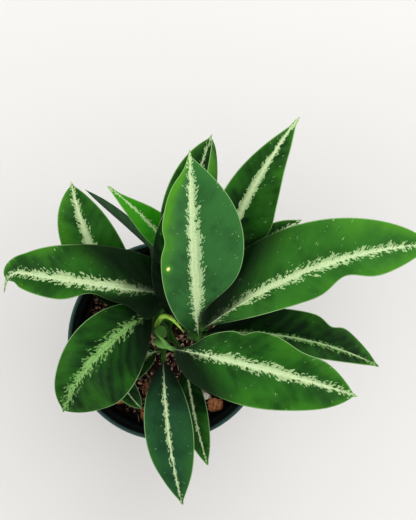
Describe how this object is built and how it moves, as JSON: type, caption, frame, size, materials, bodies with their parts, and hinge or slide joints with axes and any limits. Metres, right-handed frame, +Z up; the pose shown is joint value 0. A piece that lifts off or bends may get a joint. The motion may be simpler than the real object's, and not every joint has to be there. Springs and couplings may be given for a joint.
{
  "type": "potted dieffenbachia",
  "caption": "Variegated dieffenbachia with broad pointed leaves on short canes, growing in a round dark nursery pot with soil and bark.",
  "frame": {"origin": "centre of the pot's underside, on the surface it stands on", "axes": "+Z up; +X towards the longest leaf; -Y is the front"},
  "size_m": [0.3006, 0.2748, 0.2931],
  "materials": {
    "pot_plastic": "satin",
    "potting_soil": "matte",
    "bark": "matte",
    "perlite": "matte",
    "cane": "satin",
    "leaf": "satin",
    "young_leaf": "satin"
  },
  "bodies": {
    "root": {"pot": "pot_plastic", "soil": "potting_soil", "cane_left": "cane", "cane_right": "cane", "cane_small": "cane", "leaf_crown": "leaf", "leaf_right_large": "leaf", "leaf_right_low": "leaf", "leaf_back_right": "leaf", "leaf_back_right_low": "leaf", "leaf_back_curled": "leaf", "leaf_left_long": "leaf", "leaf_right_front": "leaf", "leaf_inner_left": "leaf", "leaf_front_left": "leaf", "leaf_back_left": "leaf", "leaf_back_left_folded": "leaf", "leaf_young_back_left": "leaf", "leaf_front_left_low": "leaf", "leaf_front_long": "leaf", "leaf_front_low": "leaf", "leaf_small_front_left": "leaf", "new_shoot": "young_leaf", "bark_chip_1": "bark", "bark_chip_2": "bark", "bark_chip_3": "bark", "bark_chip_4": "bark", "bark_chip_5": "bark", "bark_chip_6": "bark", "bark_chip_7": "bark", "bark_chip_8": "bark", "bark_chip_9": "bark", "bark_chip_10": "bark", "perlite_1": "perlite", "perlite_2": "perlite", "perlite_3": "perlite"}
  },
  "joints": []
}
